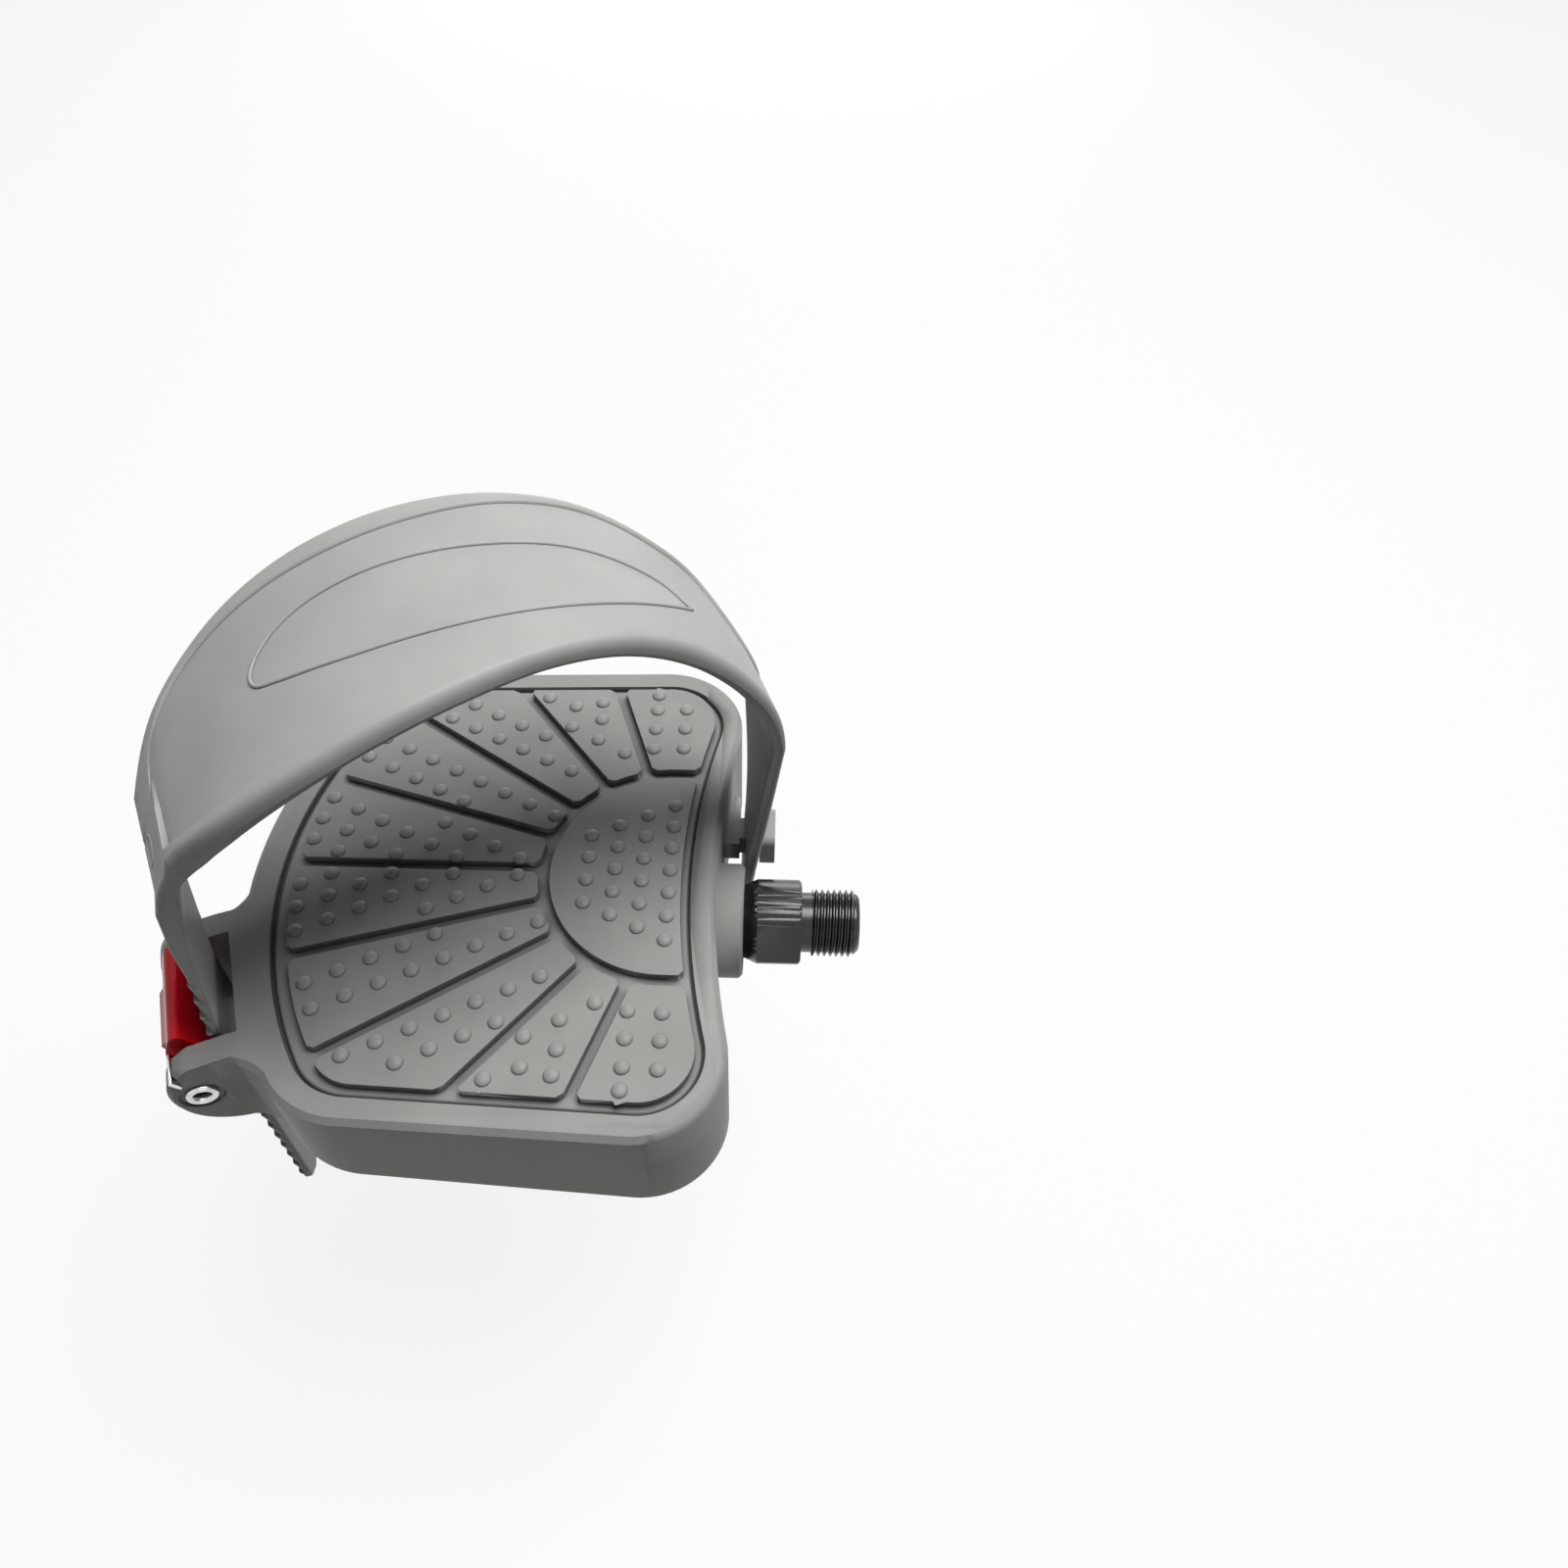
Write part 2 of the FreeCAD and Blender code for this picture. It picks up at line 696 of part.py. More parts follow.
def wire(path, radius):
    """Four-sided wire along a path of points."""
    rings = []
    leaning = along_buckle(1) + V(0, 0, wire_lean)
    for i, point in enumerate(path):
        ahead = (path[min(i + 1, len(path) - 1)] - path[max(i - 1, 0)]).normalize()
        side = ahead.cross(leaning).normalize()
        up = side.cross(ahead)
        rings.append([point + spoke * radius for spoke in (side, up, -side, -up)])
    return Part.makeLoft([Part.makePolygon(r + r[:1]) for r in rings], True, True)


def lever_spring():
    """Torsion spring on the pin; its end hooks over the near ear's edge."""
    coil = pin_diameter / 2 + spring_gap + spring_wire / 2
    out = near_face - spring_wire / 2 - spring_side_gap
    first = slot_near + spring_wire / 2 + spring_side_gap
    seat = ear_radius - spring_wire / 2 - spring_notch_gap / 2
    reach, height = ear_place(seat, 0)
    hook_reach, hook_height = ear_place(seat - spring_hook_length, 0)
    lead = atan2(height - pin_height, reach - pin_reach)
    path = [buckle_point(hook_reach, out, hook_height), buckle_point(reach, out, height),
            buckle_point(reach, first, height)]
    for i in range(spring_steps * spring_turns + 1):
        turn = lead + radians(360 * i / spring_steps)
        along = first + (spring_wire + spring_gap) * i / spring_steps
        path.append(buckle_point(pin_reach + coil * cos(turn), along, pin_height + coil * sin(turn)))
    return wire(path, spring_wire / 2)


def strap_section(heel, toe, outwards):
    """Cross-section between inner heel and toe corners."""
    up = outwards * strap_thickness
    points = [heel, toe, toe + up, heel + up]
    return Part.makePolygon(points + points[:1])


def arch_point(angle, along):
    """Point of the strap's inner face and the direction out of it."""
    turn = radians(angle)
    reach = arch_centre - arch_half_span * cos(turn)
    height = arch_spring + arch_rise * sin(turn)
    outwards = buckle_point(-arch_rise * cos(turn), 0, arch_half_span * sin(turn)) - buckle_point(0, 0, 0)
    return buckle_point(reach, along, height), outwards.normalize()


def leg_section(share):
    """Section of the crank-side leg, share 0 at its foot and 1 at the arch."""
    foot = V(fan_x + foot_x, foot_toe, foot_height)
    top = arch_point(0, leg_toe)[0]
    toe = foot + (top - foot) * share
    turn = radians(buckle_turn * share ** leg_turn_power)
    width = foot_width + (leg_toe - leg_heel - foot_width) * share
    heel = toe + V(sin(turn), -cos(turn), 0) * width
    return strap_section(heel, toe, V(cos(turn), sin(turn), 0))


def outline_row(rows, angle):
    """Heel edge, toe edge and flare at an arch angle, eased between the outline's rows."""
    i = max(k for k in range(len(rows) - 1) if rows[k][0] <= angle)
    step = rows[i + 1][0] - rows[i][0]
    share = (angle - rows[i][0]) / step
    values = []
    for column in (1, 2, 3):
        start, end = rows[i][column], rows[i + 1][column]
        before = rows[max(i - 1, 0)]
        after = rows[min(i + 2, len(rows) - 1)]
        slope_in = (end - before[column]) / (rows[i + 1][0] - before[0]) * step
        slope_out = (after[column] - start) / (after[0] - rows[i][0]) * step
        values.append(start + share * slope_in
                      + share ** 2 * (3 * (end - start) - 2 * slope_in - slope_out)
                      + share ** 3 * (2 * (start - end) + slope_in + slope_out))
    return values


def strap_panel():
    """Leg and wide panel over the instep, lofted through its sections."""
    rows = [(0, leg_heel, leg_toe, 0), (15, 3.2, 21.8, -0.6), (30, 3.3, 22.0, -1.0), (45, 3.6, 31.0, -0.3),
            (60, 2.0, 37.0, 0), (75, -1.5, 39.8, 0), (90, -6.0, 40.0, 0), (105, -9.4, 39.2, 0),
            (120, -11.3, 36.6, 0), (135, -11.0, 31.4, 0.4), (148, -8.8, 24.2, 1.6),
            (panel_end_angle, tail_heel, 15.0, 2.0)]
    sections = [leg_section(i / leg_steps) for i in range(leg_steps)]
    for i in range(arch_steps + 1):
        angle = panel_end_angle * i / arch_steps
        heel, toe, flare = outline_row(rows, angle)
        inner, outwards = arch_point(angle, heel)
        outer = arch_point(angle, toe)[0] + outwards * flare
        sections.append(strap_section(inner, outer, outwards))
    return Part.makeLoft(sections, True, True)


def tail_run(start, end):
    """Saw-tooth outer face of one straight stretch of the tail."""
    ahead = (end - start).normalize()
    outwards = along_buckle(1).cross(ahead).normalize()
    count = int((end - start).Length / tail_pitch)
    points = []
    for i in range(count):
        foot = start + ahead * (tail_pitch * i)
        points.append(foot + outwards * tail_base)
        points.append(foot + outwards * (tail_base + tail_tooth))
    points.append(end + outwards * tail_base)
    return points


def strap_tail():
    """Toothed tail that passes down through the buckle and hangs below."""
    top = arch_point(tail_start_angle, tail_heel)[0]
    bend = buckle_point(tail_bend_reach, tail_heel, tail_bend_height)
    slot = buckle_point(tail_slot_reach, tail_heel, rim_height)
    bottom = buckle_point(tail_hang_reach, tail_heel, tail_end)
    profile = [top] + tail_run(top, bend) + tail_run(bend, slot)[1:] + tail_run(slot, bottom)[1:]
    profile += [bottom, slot, bend]
    tail = polygon_face(profile).extrude(along_buckle(tail_width))
    radius = tail_width / 2
    outward = buckle_point(1, 0, 0) - buckle_point(0, 0, 0)
    tongue = Part.makeCylinder(radius, far_out,
                               buckle_point(0, tail_heel + radius, tail_end + radius), outward)
    corners = [(0, 0), (0, far_out), (tail_width, far_out), (tail_width, 0)]
    above = polygon_face([buckle_point(0, tail_heel + a, tail_end + radius + b) for a, b in corners])
    return tail.common(tongue.fuse(above.extrude(outward * far_out)))


def strap():
    """Moulded foot strap with a hole that hooks over the lug."""
    half = lug_neck / 2 + strap_hole_gap
    hole = box(fan_x + foot_x - past, fan_x + foot_x + strap_thickness + past,
               lug_side - half, lug_side + half, lug_height - half, lug_height + half)
    return strap_panel().fuse(strap_tail()).cut(hole)


NODES = {
    "spindle": spindle,
    "axle_seal": axle_seal,
    "inner_thrust_washer": inner_thrust_washer,
    "inner_bush": inner_bush,
    "outer_bush": outer_bush,
    "outer_thrust_washer": outer_thrust_washer,
    "axle_nut": axle_nut,
    "nut_insert": nut_insert,
    "dust_cap": dust_cap,
    "pedal_body": pedal_body,
    "tread_pad": tread_pad,
    "strap": strap,
    "ratchet_lever": ratchet_lever,
    "lever_pin": lever_pin,
    "lever_spring": lever_spring,
}

os.makedirs("parts", exist_ok=True)
for name, make in NODES.items():
    shape = make()
    shape.exportStep("parts/" + name + ".step")
    print(name, len(shape.Solids), shape.isValid(), round(shape.Volume, 1))
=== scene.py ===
import bmesh
import bpy
from math import atan2, copysign, cos, pi, radians, sin, sqrt
from mathutils import Matrix, Vector


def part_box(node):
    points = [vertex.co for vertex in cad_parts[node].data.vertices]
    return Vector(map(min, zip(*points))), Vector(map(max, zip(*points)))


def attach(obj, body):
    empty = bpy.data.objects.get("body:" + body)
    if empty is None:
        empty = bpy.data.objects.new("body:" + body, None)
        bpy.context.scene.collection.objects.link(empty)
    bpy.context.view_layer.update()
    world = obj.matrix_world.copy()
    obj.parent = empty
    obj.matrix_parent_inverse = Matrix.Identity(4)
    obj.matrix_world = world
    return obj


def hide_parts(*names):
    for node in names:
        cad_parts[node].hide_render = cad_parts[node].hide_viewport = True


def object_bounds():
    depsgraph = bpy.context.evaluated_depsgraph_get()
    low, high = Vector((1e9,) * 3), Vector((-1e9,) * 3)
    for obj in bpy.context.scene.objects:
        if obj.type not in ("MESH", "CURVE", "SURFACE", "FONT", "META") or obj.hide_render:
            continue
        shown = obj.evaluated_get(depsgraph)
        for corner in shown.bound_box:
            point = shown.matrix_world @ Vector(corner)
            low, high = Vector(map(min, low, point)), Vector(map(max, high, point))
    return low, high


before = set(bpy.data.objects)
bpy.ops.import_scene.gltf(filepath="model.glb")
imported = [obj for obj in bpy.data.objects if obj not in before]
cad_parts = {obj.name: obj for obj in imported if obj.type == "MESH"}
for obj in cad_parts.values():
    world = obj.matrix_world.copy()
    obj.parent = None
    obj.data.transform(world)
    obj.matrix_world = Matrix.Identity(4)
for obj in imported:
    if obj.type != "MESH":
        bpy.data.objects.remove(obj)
cad_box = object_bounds()
mm = 0.001

# Spindle
# The axle is turned from bar and blacked: a left-hand crank thread, a relief neck, a serrated collar
# with two spanner flats, and a plain shank that runs in the hub. It screws into the crank arm.
thread_radius = 14.29 / 2 * mm
thread_root = 12.7 / 2 * mm
thread_pitch = 1.27 * mm
thread_length = 9.9 * mm
thread_chamfer = 1.4 * mm
thread_profile = [(0, thread_root), (0.1, thread_root), (0.42, thread_radius), (0.58, thread_radius),
                  (0.9, thread_root), (1, thread_root)]
turn_steps, spare_turns = 64, 2
thread_weld = 0.005 * mm
crank_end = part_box("spindle")[1].x
thread_start = crank_end - thread_length
steel_dark, steel_light = (0.006, 0.006, 0.0065), (0.016, 0.016, 0.017)
weld = 0.002 * mm
flat_turn = radians(0.6)
noise_low, noise_high = 0.3, 0.7


def copy_of_solid(node):
    """The node's solid as one welded mesh with its flat faces whole."""
    solid = bmesh.new()
    solid.from_mesh(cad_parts[node].data)
    bmesh.ops.remove_doubles(solid, verts=solid.verts, dist=weld)
    bmesh.ops.dissolve_limit(solid, angle_limit=flat_turn, verts=solid.verts, edges=solid.edges)
    return solid


def cut_off(solid, plane, side):
    """Cuts off what lies beyond a plane across the axle, on its side 1 or -1."""
    return bmesh.ops.bisect_plane(solid, geom=solid.verts[:] + solid.edges[:] + solid.faces[:],
                                  plane_co=(plane, 0, 0), plane_no=(side, 0, 0), clear_outer=True)


def finished_piece(name, solid, body, material, smooth_under=38, level_flats=False):
    """Makes the object of a modelled solid, and gives it its body and its finish."""
    mesh = bpy.data.meshes.new(name)
    solid.to_mesh(mesh)
    solid.free()
    mesh.shade_smooth()
    mesh.set_sharp_from_angle(angle=radians(smooth_under))
    made = bpy.data.objects.new(name, mesh)
    bpy.context.scene.collection.objects.link(made)
    made.data.materials.append(material)
    if level_flats:
        made.modifiers.new("level_flats", "WEIGHTED_NORMAL").keep_sharp = True
    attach(made, body)
    return made


def shader(name, roughness, metallic=0.0):
    """A new material, its nodes and links, and its main shader with its constant values set."""
    material = bpy.data.materials.new(name)
    material.use_nodes = True
    nodes = material.node_tree.nodes
    main = nodes["Principled BSDF"]
    main.inputs["Roughness"].default_value = roughness
    main.inputs["Metallic"].default_value = metallic
    return material, nodes, material.node_tree.links, main


def noise(nodes, links, scale, detail=2.0, stretch=(1, 1, 1)):
    """Noise over the piece's own coordinates, scale in features per metre."""
    place = nodes.new("ShaderNodeTexCoord")
    mapping = nodes.new("ShaderNodeMapping")
    mapping.inputs["Scale"].default_value = stretch
    texture = nodes.new("ShaderNodeTexNoise")
    texture.inputs["Scale"].default_value = scale
    texture.inputs["Detail"].default_value = detail
    links.new(place.outputs["Object"], mapping.inputs["Vector"])
    links.new(mapping.outputs["Vector"], texture.inputs["Vector"])
    return texture.outputs["Fac"]


def between(nodes, links, factor, dark, light, low=noise_low, high=noise_high):
    """Colour that runs from dark to light as the factor goes from low to high."""
    blend = nodes.new("ShaderNodeValToRGB")
    blend.color_ramp.elements[0].position = low
    blend.color_ramp.elements[0].color = (*dark, 1)
    blend.color_ramp.elements[1].position = high
    blend.color_ramp.elements[1].color = (*light, 1)
    links.new(factor, blend.inputs["Fac"])
    return blend.outputs["Color"]


def spread(nodes, links, factor, low, high):
    """Number that runs from low to high with a noise factor."""
    span = nodes.new("ShaderNodeMapRange")
    span.inputs["From Min"].default_value = noise_low
    span.inputs["From Max"].default_value = noise_high
    span.inputs["To Min"].default_value = low
    span.inputs["To Max"].default_value = high
    links.new(factor, span.inputs["Value"])
    return span.outputs["Result"]


def relief(nodes, links, main, height, depth, strength):
    """Raises the surface by a height pattern, depth in metres."""
    bump = nodes.new("ShaderNodeBump")
    bump.inputs["Strength"].default_value = strength
    bump.inputs["Distance"].default_value = depth
    links.new(height, bump.inputs["Height"])
    links.new(bump.outputs["Normal"], main.inputs["Normal"])


def blacked_steel():
    """Black oxide on turned steel: fine turning lines round the axle and a little shine."""
    material, nodes, links, main = shader("blacked_steel", roughness=0.26)
    cloud = noise(nodes, links, scale=260)
    lines = noise(nodes, links, scale=300, detail=1.0, stretch=(18, 1, 1))
    links.new(between(nodes, links, cloud, steel_dark, steel_light), main.inputs["Base Color"])
    links.new(spread(nodes, links, lines, low=0.2, high=0.26), main.inputs["Roughness"])
    relief(nodes, links, main, lines, depth=0.01 * mm, strength=0.06)
    return material


def crank_thread():
    """One thread profile spun along the axle, trimmed at both ends and chamfered at the tip."""
    thread = bmesh.new()
    first = thread_start - spare_turns * thread_pitch
    turns = int(thread_length / thread_pitch) + 2 * spare_turns
    points = [thread.verts.new((first + share * thread_pitch, 0, radius))
              for share, radius in thread_profile]
    edges = [thread.edges.new(pair) for pair in zip(points, points[1:])]
    bmesh.ops.spin(thread, geom=points + edges, cent=(0, 0, 0), axis=(1, 0, 0), angle=-2 * pi * turns,
                   dvec=(thread_pitch / turn_steps, 0, 0), steps=turn_steps * turns)
    bmesh.ops.remove_doubles(thread, verts=thread.verts, dist=thread_weld)
    for plane, side in ((crank_end, 1), (thread_start, -1)):
        cut = cut_off(thread, plane, side)
        rim = [e for e in cut["geom_cut"] if isinstance(e, bmesh.types.BMEdge)]
        bmesh.ops.holes_fill(thread, edges=rim)
    for vert in thread.verts:
        radius = Vector((vert.co.y, vert.co.z)).length
        allowed = thread_radius - thread_chamfer + (crank_end - vert.co.x)
        if radius > allowed:
            vert.co.yz = vert.co.yz * (allowed / radius)
    bmesh.ops.recalc_face_normals(thread, faces=thread.faces)
    return thread


axle_black = blacked_steel()
shank = copy_of_solid("spindle")
cut_off(shank, thread_start, 1)
bmesh.ops.dissolve_degenerate(shank, dist=weld, edges=shank.edges)
bmesh.ops.edgeloop_fill(shank, edges=[e for e in shank.edges if e.is_boundary])
shank_piece = finished_piece("axle_shank", shank, "axle", axle_black, smooth_under=20)
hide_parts("spindle")
finished_piece("axle_thread", crank_thread(), "axle", axle_black, smooth_under=60)

# Bearings and their fastenings
# Two plain bushes pressed in the hub carry the axle, between thrust washers; a lock nut with a plastic
# ring holds it in, a lip ring closes the crank end and a pressed cap the other. All are stock pieces.


def stock_finish(name, dark, light, roughness, metallic, scale):
    """Finish of a bought piece: cloudy colour with fine machining or moulding marks."""
    material, nodes, links, main = shader(name, roughness, metallic)
    links.new(between(nodes, links, noise(nodes, links, scale), dark, light), main.inputs["Base Color"])
    marks = noise(nodes, links, scale=scale * 8, detail=1.0, stretch=(6, 1, 1))
    sheen = spread(nodes, links, marks, low=roughness - 0.08, high=roughness + 0.1)
    links.new(sheen, main.inputs["Roughness"])
    relief(nodes, links, main, marks, depth=0.02 * mm, strength=0.2)
    return material


bronze = stock_finish("sintered_bronze", (0.30, 0.17, 0.07), (0.42, 0.26, 0.12), 0.42, 1.0, 700)
plated = stock_finish("zinc_plate", (0.42, 0.42, 0.41), (0.56, 0.56, 0.54), 0.3, 1.0, 500)
lip_rubber = stock_finish("lip_rubber", (0.012, 0.012, 0.012), (0.025, 0.025, 0.026), 0.6, 0.0, 600)
ring_nylon = stock_finish("ring_nylon", (0.62, 0.62, 0.6), (0.72, 0.72, 0.7), 0.4, 0.0, 600)
cap_plastic = stock_finish("cap_plastic", (0.3, 0.299, 0.287), (0.35, 0.349, 0.335), 0.45, 0.0, 500)
for node, material in {"inner_bush": bronze, "outer_bush": bronze, "inner_thrust_washer": plated,
                       "outer_thrust_washer": plated, "axle_nut": plated, "nut_insert": ring_nylon,
                       "axle_seal": lip_rubber, "dust_cap": cap_plastic}.items():
    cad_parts[node].data.materials.clear()
    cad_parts[node].data.materials.append(material)

# Pedal body
# One injection moulding in grey glass-filled nylon: rim, walls, deck, hub, ribs, the two buckle ears and
# the lug for the strap. Its faces carry a fine spark grain, and shade is painted into its narrow corners.
body_dark, body_light = (0.30, 0.299, 0.287), (0.345, 0.344, 0.33)
grain_depth = 0.05 * mm
moulded_shine = 0.25
# ambient occlusion levels over which the painted groove shade runs from darkest to none
shade_low, shade_high = 0.45, 0.8
fan = Vector((-32.35 * mm, 0, 0))
buckle_turn = radians(20)
outwards = Vector((-cos(buckle_turn), -sin(buckle_turn), 0))
toewards = Vector((-sin(buckle_turn), cos(buckle_turn), 0))
upwards = Vector((0, 0, 1))
ear_reach, ear_height, ear_thickness = 89.5 * mm, 6.4 * mm, 4.9 * mm
near_ear, far_ear = -12.9 * mm, 14.6 * mm
ear_radius, ear_margin = 13.2 * mm, 0.02 * mm
rim_top = 17.1 * mm
ear_fall, ear_fall_end = 1.0 * mm, 99.5 * mm


def moulded_grey(name, dark, light, roughness, grain):
    """Grey moulding: faint flow clouds, a fine grain and a soft sheen that varies with it."""
    material, nodes, links, main = shader(name, roughness)
    main.inputs["Specular IOR Level"].default_value = moulded_shine
    clouds = noise(nodes, links, scale=70, detail=4.0)
    fine = noise(nodes, links, scale=grain, detail=3.0)
    links.new(between(nodes, links, clouds, dark, light), main.inputs["Base Color"])
    sheen = spread(nodes, links, fine, low=roughness - 0.06, high=roughness + 0.1)
    links.new(sheen, main.inputs["Roughness"])
    relief(nodes, links, main, fine, grain_depth, strength=0.5)
    return material


def painted_groove_shade(material, reach, darkest):
    """Paints shade into a moulding's colour in its narrow grooves and corners, from ambient occlusion."""
    nodes, links = material.node_tree.nodes, material.node_tree.links
    colour = nodes["Principled BSDF"].inputs["Base Color"]
    unshaded = colour.links[0].from_socket
    hidden = nodes.new("ShaderNodeAmbientOcclusion")
    hidden.inputs["Distance"].default_value = reach
    hidden.samples = 8
    dark = (darkest, darkest, darkest)
    # painted shade: colour multiplier from dark in occluded grooves to white in the open
    painted_shade = between(nodes, links, hidden.outputs["AO"], dark, (1, 1, 1), shade_low, shade_high)
    mix = nodes.new("ShaderNodeMix")
    mix.data_type = "RGBA"
    mix.blend_type = "MULTIPLY"
    mix.inputs["Factor"].default_value = 1.0
    links.new(unshaded, mix.inputs[6])
    links.new(painted_shade, mix.inputs[7])
    links.new(mix.outputs[2], colour)


def level_ears(solid):
    """Brings the ears' tops down to the rim, falling a little towards the rivet."""
    for vert in solid.verts:
        place = vert.co - fan
        reach, along = place.dot(outwards), place.dot(toewards)
        for face in (near_ear, far_ear):
            inside = along - face
            if -ear_margin < inside < ear_thickness + ear_margin and reach > ear_reach - ear_radius:
                fall = ear_fall * max(reach - ear_reach, 0) / (ear_fall_end - ear_reach)
                vert.co.z = min(vert.co.z, rim_top - fall)
    bmesh.ops.dissolve_limit(solid, angle_limit=flat_turn, verts=solid.verts, edges=solid.edges)


body_grey = moulded_grey("body_grey", body_dark, body_light, roughness=0.46, grain=2600)
# painted shade: the body's colour is darkened in its grooves and corners
painted_groove_shade(body_grey, reach=1.5 * mm, darkest=0.45)
platform = copy_of_solid("pedal_body")
level_ears(platform)
platform_piece = finished_piece("platform", platform, "pedal", body_grey)
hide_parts("pedal_body")

# Tread pad
# A rubber mat moulded in one piece and bonded in the platform's recess: a flat floor, a fan of raised
# pads with rounded edges, and rows of round grip studs on them.
tread_dark, tread_light = (0.285, 0.284, 0.272), (0.33, 0.329, 0.315)
stud_radius, stud_height = 1.55 * mm, 0.9 * mm
stud_sides, stud_rings, stud_sunk = 14, 10, 0.35
outer_studs, drawn_in = 46.0 * mm, 1.2 * mm
stud_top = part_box("tread_pad")[1].z
tread_top = stud_top - 1.1 * mm
pad_height = 2.0 * mm
pad_floor = tread_top - pad_height
facing_up, stud_margin, stud_cut = 0.9, 0.01 * mm, 0.2 * mm
pad_edge, pad_weld = 0.3 * mm, 0.12 * mm
seam_radius, seam_margin = 0.95 * mm, 0.05 * mm
mat_turn = 40
edge_steps, edge_room = 3, 1.2


def outer_edges(solid, sharper_than):
    """The edges that turn outwards by more than an angle."""
    return [e for e in solid.edges if e.is_manifold and e.is_convex
            and e.calc_face_angle() > radians(sharper_than)]


def bevel_edges(solid, edges, radius):
    """Rounds the given edges over."""
    bmesh.ops.bevel(solid, geom=edges, offset=radius, offset_type="OFFSET", segments=edge_steps,
                    profile=0.5, affect="EDGES", clamp_overlap=True, material=-1)


def round_edges(solid, radius, sharper_than):
    """Rounds the outer edges that turn by more than an angle and have room for it."""
    room = edge_room * radius
    roomy = [e for e in outer_edges(solid, sharper_than)
             if all(near.calc_length() > room for vert in e.verts for near in vert.link_edges)]
    bevel_edges(solid, roomy, radius)


def stud_places(mat):
    """Middles of the studs' flat tops on the mat, the outermost ones drawn in from the pads' edges."""
    level = [f for f in mat.faces if f.normal.z > facing_up]
    tops = [f for f in level if f.calc_center_median().z > stud_top - stud_margin]
    places = [f.calc_center_median() for f in tops]
    for place in places:
        if abs(place.y) > outer_studs:
            place.y -= copysign(drawn_in, place.y)
    return places


def bare_mat(mat):
    """Takes the studs off the pads and closes the pads' tops."""
    above = [v for v in mat.verts if v.co.z > tread_top + stud_cut]
    bmesh.ops.delete(mat, geom=above, context="VERTS")
    bmesh.ops.edgeloop_fill(mat, edges=[e for e in mat.edges if e.is_boundary])
    bmesh.ops.dissolve_limit(mat, angle_limit=flat_turn, verts=mat.verts, edges=mat.edges)
    bmesh.ops.remove_doubles(mat, verts=mat.verts, dist=pad_weld)


def open_seam(mat):
    """Rounds the mat's outer edge well over, so that a dark seam shows all round it."""
    outer = [e for e in outer_edges(mat, mat_turn)
             if all(abs(v.co.z - pad_floor) < seam_margin for v in e.verts)]
    bevel_edges(mat, outer, seam_radius)


def grip_studs(places):
    """A shallow dome on each place, flared where it meets its pad."""
    studs = bmesh.new()
    for place in places:
        dome = bmesh.ops.create_uvsphere(studs, u_segments=stud_sides, v_segments=stud_rings,
                                         radius=stud_radius)["verts"]
        below = [v for v in dome if v.co.z < -stud_sunk * stud_radius]
        kept = [v for v in dome if v not in below]
        bmesh.ops.delete(studs, geom=below, context="VERTS")
        bmesh.ops.scale(studs, vec=(1, 1, stud_height / stud_radius), verts=kept)
        bmesh.ops.translate(studs, vec=(place.x, place.y, tread_top), verts=kept)
    bmesh.ops.edgeloop_fill(studs, edges=[e for e in studs.edges if e.is_boundary])
    return studs


tread_rubber = moulded_grey("tread_rubber", tread_dark, tread_light, roughness=0.42, grain=2200)
# painted shade: the mat's colour is darkened in the grooves between its pads
painted_groove_shade(tread_rubber, reach=2.5 * mm, darkest=0.35)
mat = copy_of_solid("tread_pad")
places = stud_places(mat)
bare_mat(mat)
open_seam(mat)
round_edges(mat, pad_edge, mat_turn)
mat_piece = finished_piece("tread_mat", mat, "pedal", tread_rubber, level_flats=True)
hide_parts("tread_pad")
finished_piece("grip_studs", grip_studs(places), "pedal", tread_rubber, smooth_under=60)

# Foot strap
# One soft plastic moulding: a leg that hooks on the lug, a wide panel with a rolled heel edge, a raised toe
# border and a thin leaf line, and a toothed tail that runs down through the buckle. It stays at one setting.
strap_dark, strap_light = (0.39, 0.387, 0.376), (0.435, 0.432, 0.418)
strap_thickness = 3.2 * mm
border_rise, border_falls, border_loss = 0.5 * mm, 140, 0.6
crease_rise, crease_start = 1.15 * mm, 112.0
border_slope, end_slope = 0.45 * mm, 2.5 * mm
heel_band, heel_step = 3.8 * mm, 0.35 * mm
heel_roll, heel_roll_height, heel_lip = 1.9 * mm, 2.9 * mm, 1.3 * mm
roll_open, roll_closing, roll_closed = 45, 146, 154
roll_turns = (0, 22, 45, 68, 90)
edge_radius, edge_most, edge_cut = 0.8 * mm, 0.4, 0.3
arch_centre, arch_half_span = 33.4 * mm, 53.6 * mm
arch_spring, arch_rise = 42.8 * mm, 43.8 * mm
field_end, field_closed, panel_end = 148.2, 152.3, 160.0
field_least = 1.0 * mm
panel_angles = [2.3 * i for i in range(64)] + [147.2 + 0.3 * i for i in range(19)]
panel_angles += [153.5, 155, 157.5, panel_end]
leg_bulge, bulge_end = 0.5 * mm, 60
leg_foot = fan + Vector((11.6, 28.4, -7.7)) * mm
foot_width, leg_bow, leg_border = 15.2 * mm, 0.8 * mm, 2.0 * mm
leg_steps, leg_twist = 14, 1.4
# arch angle in degrees, then heel edge, toe edge and outward flare in mm
panel_rows = [(0, 4.0, 22.6, 0), (14, 3.3, 21.0, -0.5), (24, 3.2, 25.4, -0.9), (34, 3.4, 31.3, -0.8),
              (45, 3.6, 33.9, -0.3), (60, 2.0, 38.1, 0), (75, -1.5, 39.9, 0), (90, -6.0, 39.8, 0),
              (105, -9.4, 38.4, 0), (120, -11.3, 35.9, 0), (135, -11.0, 31.4, 0.6),
              (148, -8.8, 24.2, 2.2), (panel_end, -7.3, 15.0, 2.8)]
